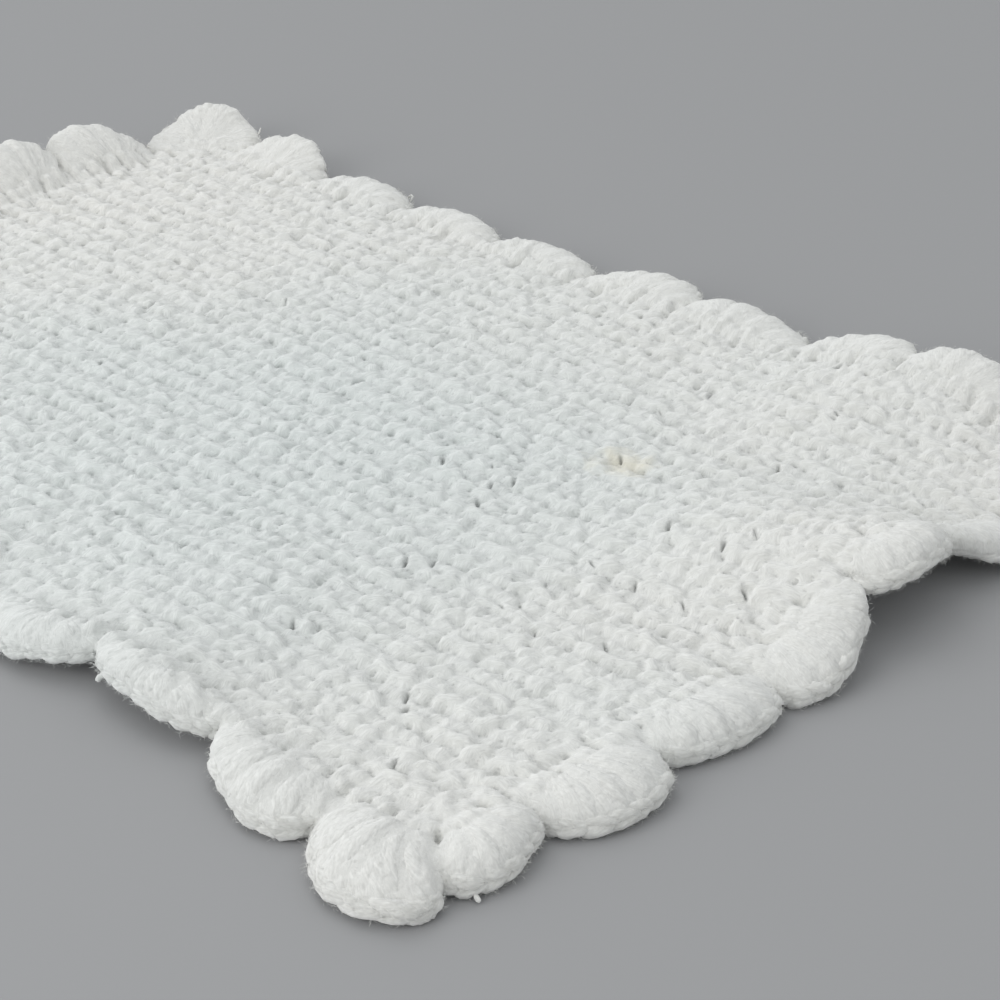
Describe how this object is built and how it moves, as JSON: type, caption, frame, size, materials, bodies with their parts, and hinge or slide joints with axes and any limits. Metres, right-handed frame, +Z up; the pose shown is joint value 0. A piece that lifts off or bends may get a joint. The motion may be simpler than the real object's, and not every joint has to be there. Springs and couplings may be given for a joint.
{
  "type": "crochet placemat",
  "caption": "Flat rectangular placemat of dense white cotton crochet with a scalloped border of plump shells, lying on a table with low folds near its edges.",
  "frame": {"origin": "on the table, under the middle of the mat's outline", "axes": "+X along the long side, +Y along the short side, +Z up from the table"},
  "size_m": [0.4578, 0.3364, 0.0269],
  "materials": {
    "cotton": "matt, slightly fuzzy cotton yarn"
  },
  "bodies": {
    "root": {"placemat": "cotton"}
  },
  "joints": []
}
